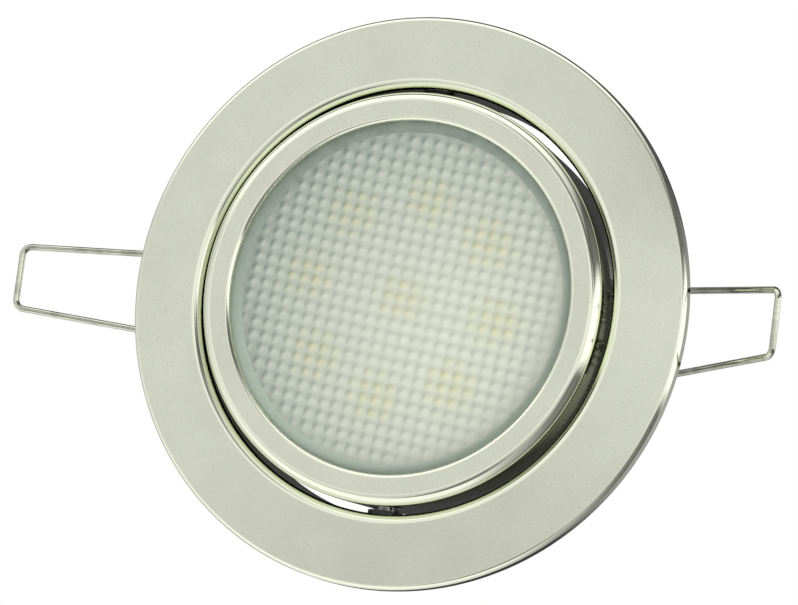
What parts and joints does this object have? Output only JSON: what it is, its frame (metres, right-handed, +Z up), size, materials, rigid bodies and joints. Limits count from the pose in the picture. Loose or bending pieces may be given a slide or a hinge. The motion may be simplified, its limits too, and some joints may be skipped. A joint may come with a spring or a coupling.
{
  "type": "soffit downlight",
  "caption": "Round recessed soffit downlight: polished trim flange, tilting lamp ring with prismatic lens, finned heatsink and sprung wire clips.",
  "frame": {"origin": "centre of the soffit cut-out, in the plane where the flange's back meets the soffit", "axes": "+Z up into the soffit, light leaves towards -Z; +X towards one spring clip (the right one in the picture); the tilt axis is along Y"},
  "size_m": [0.1535, 0.106, 0.0489],
  "materials": {
    "polished_nickel": "polished",
    "foam": "matte",
    "zinc_steel": "satin",
    "spring_wire": "bright drawn",
    "bare_steel": "satin",
    "rivet_aluminium": "satin",
    "bush_nylon": "natural",
    "lens_clear": "prismatic",
    "silicone": "matte",
    "white_plastic": "gloss",
    "board_white": "white mask",
    "pad_grey": "matte",
    "led_body": "satin",
    "led_phosphor": "clear over yellow",
    "cast_aluminium": "cast satin",
    "spring_steel_black": "phosphated",
    "gland_plastic": "moulded",
    "seal_rubber": "matte"
  },
  "bodies": {
    "trim": {"trim_ring": "polished_nickel", "soffit_gasket": "foam", "clip_bracket_left": "zinc_steel", "clip_bracket_right": "zinc_steel", "bracket_rivets": "rivet_aluminium", "clip_pin_left": "bare_steel", "clip_pin_right": "bare_steel", "pivot_pins": "bare_steel", "pivot_washers": "bare_steel", "pivot_clips": "bare_steel"},
    "gimbal": {"gimbal_ring": "polished_nickel", "pivot_bushes": "bush_nylon", "lens_gasket": "silicone", "lens": "lens_clear", "reflector_ring": "white_plastic", "led_board": "board_white", "thermal_pad": "pad_grey", "board_screws": "bare_steel", "led_emitters": "led_body", "led_domes": "led_phosphor", "heatsink": "cast_aluminium", "retaining_ring": "spring_steel_black", "gland_body": "gland_plastic", "gland_seal": "seal_rubber", "gland_nut": "gland_plastic"},
    "clip_left": {"spring_clip_left": "spring_wire"},
    "clip_right": {"spring_clip_right": "spring_wire"}
  },
  "joints": [
    {"name": "gimbal_tilt", "type": "hinge", "parent": "trim", "child": "gimbal", "pos_m": [0, 0, 0.002], "axis": [0, 1, 0], "range_deg": [-25, 25]},
    {"name": "clip_left_fold", "type": "hinge", "parent": "trim", "child": "clip_left", "pos_m": [-0.0414, 0, 0.02], "axis": [0, 1, 0], "range_deg": [-37, 105], "stiffness_Nm_per_rad": 0.3},
    {"name": "clip_right_fold", "type": "hinge", "parent": "trim", "child": "clip_right", "pos_m": [0.0414, 0, 0.02], "axis": [0, -1, 0], "range_deg": [-11.5, 131], "stiffness_Nm_per_rad": 0.3}
  ]
}
